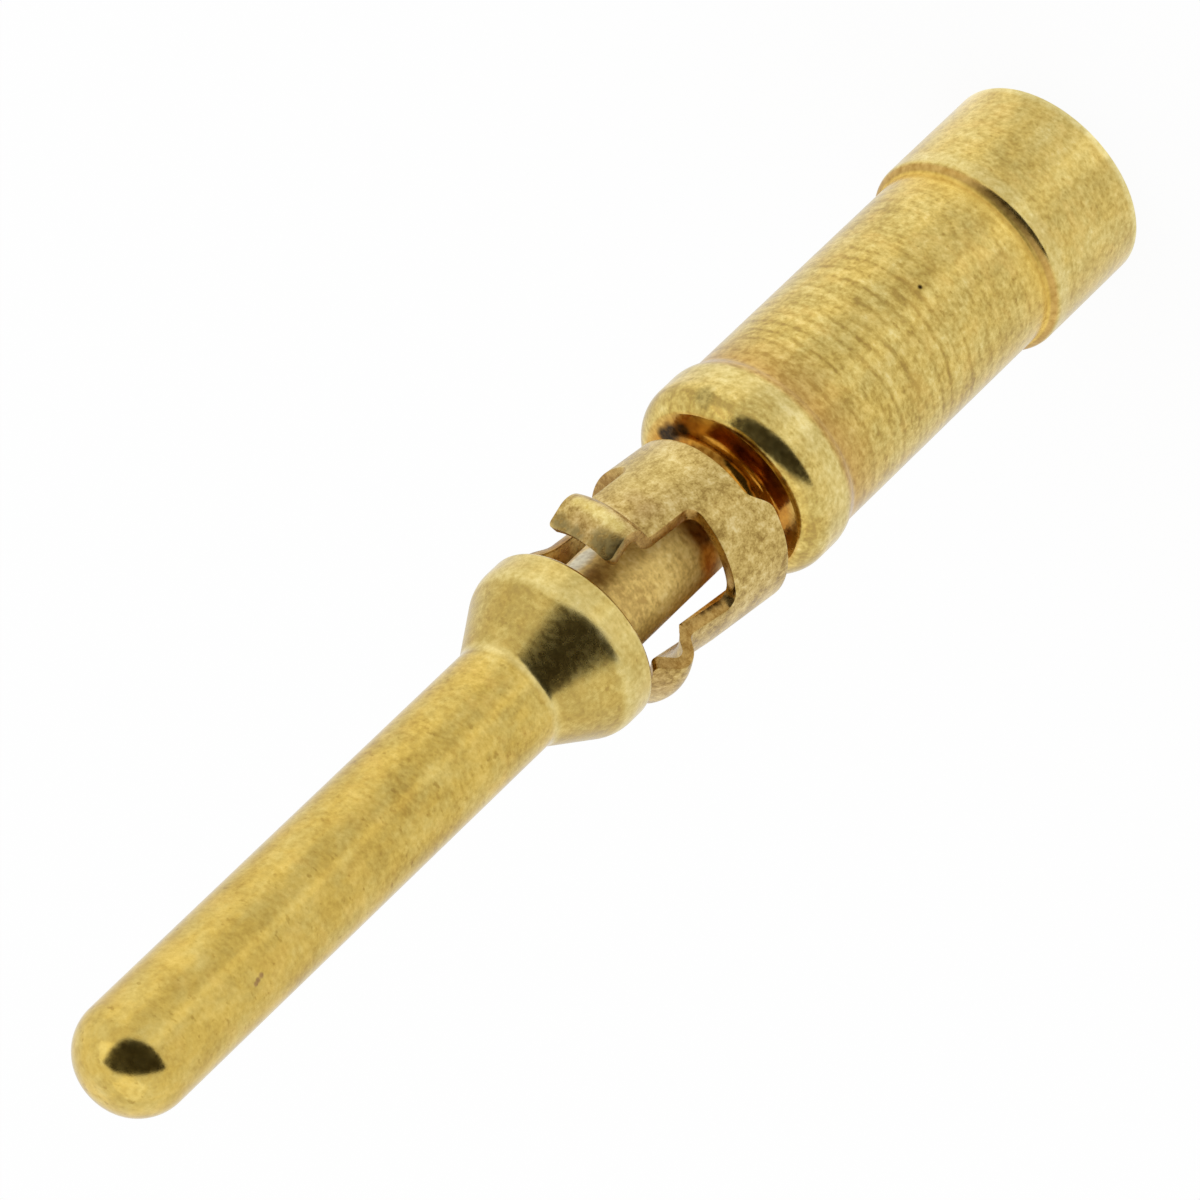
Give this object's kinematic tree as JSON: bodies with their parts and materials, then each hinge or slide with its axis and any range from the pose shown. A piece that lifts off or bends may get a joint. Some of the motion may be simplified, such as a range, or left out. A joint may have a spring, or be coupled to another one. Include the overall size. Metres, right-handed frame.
{
  "type": "connector contact pin",
  "caption": "Gold-plated turned crimp contact: round pin, conical flange, necked-down waist with a loose locking clip, and a hollow wire barrel.",
  "frame": {"origin": "centre of the rear face of the collar, on the contact's axis", "axes": "+Z along the contact's axis, from the wire barrel to the pin's tip; -Y faces the camera of the picture; the inspection hole is on +Y"},
  "size_m": [0.003, 0.003, 0.0195],
  "materials": {
    "body_plating": "satin gold plating with fine turning lines",
    "clip_plating": "matte pale gold plating"
  },
  "bodies": {
    "contact": {"contact_body": "body_plating"},
    "clip": {"retention_clip": "clip_plating"}
  },
  "joints": [
    {"name": "clip_turn", "type": "hinge", "parent": "contact", "child": "clip", "pos_m": [0, 0, 0.0086], "axis": [0, 0, 1], "continuous": true}
  ]
}
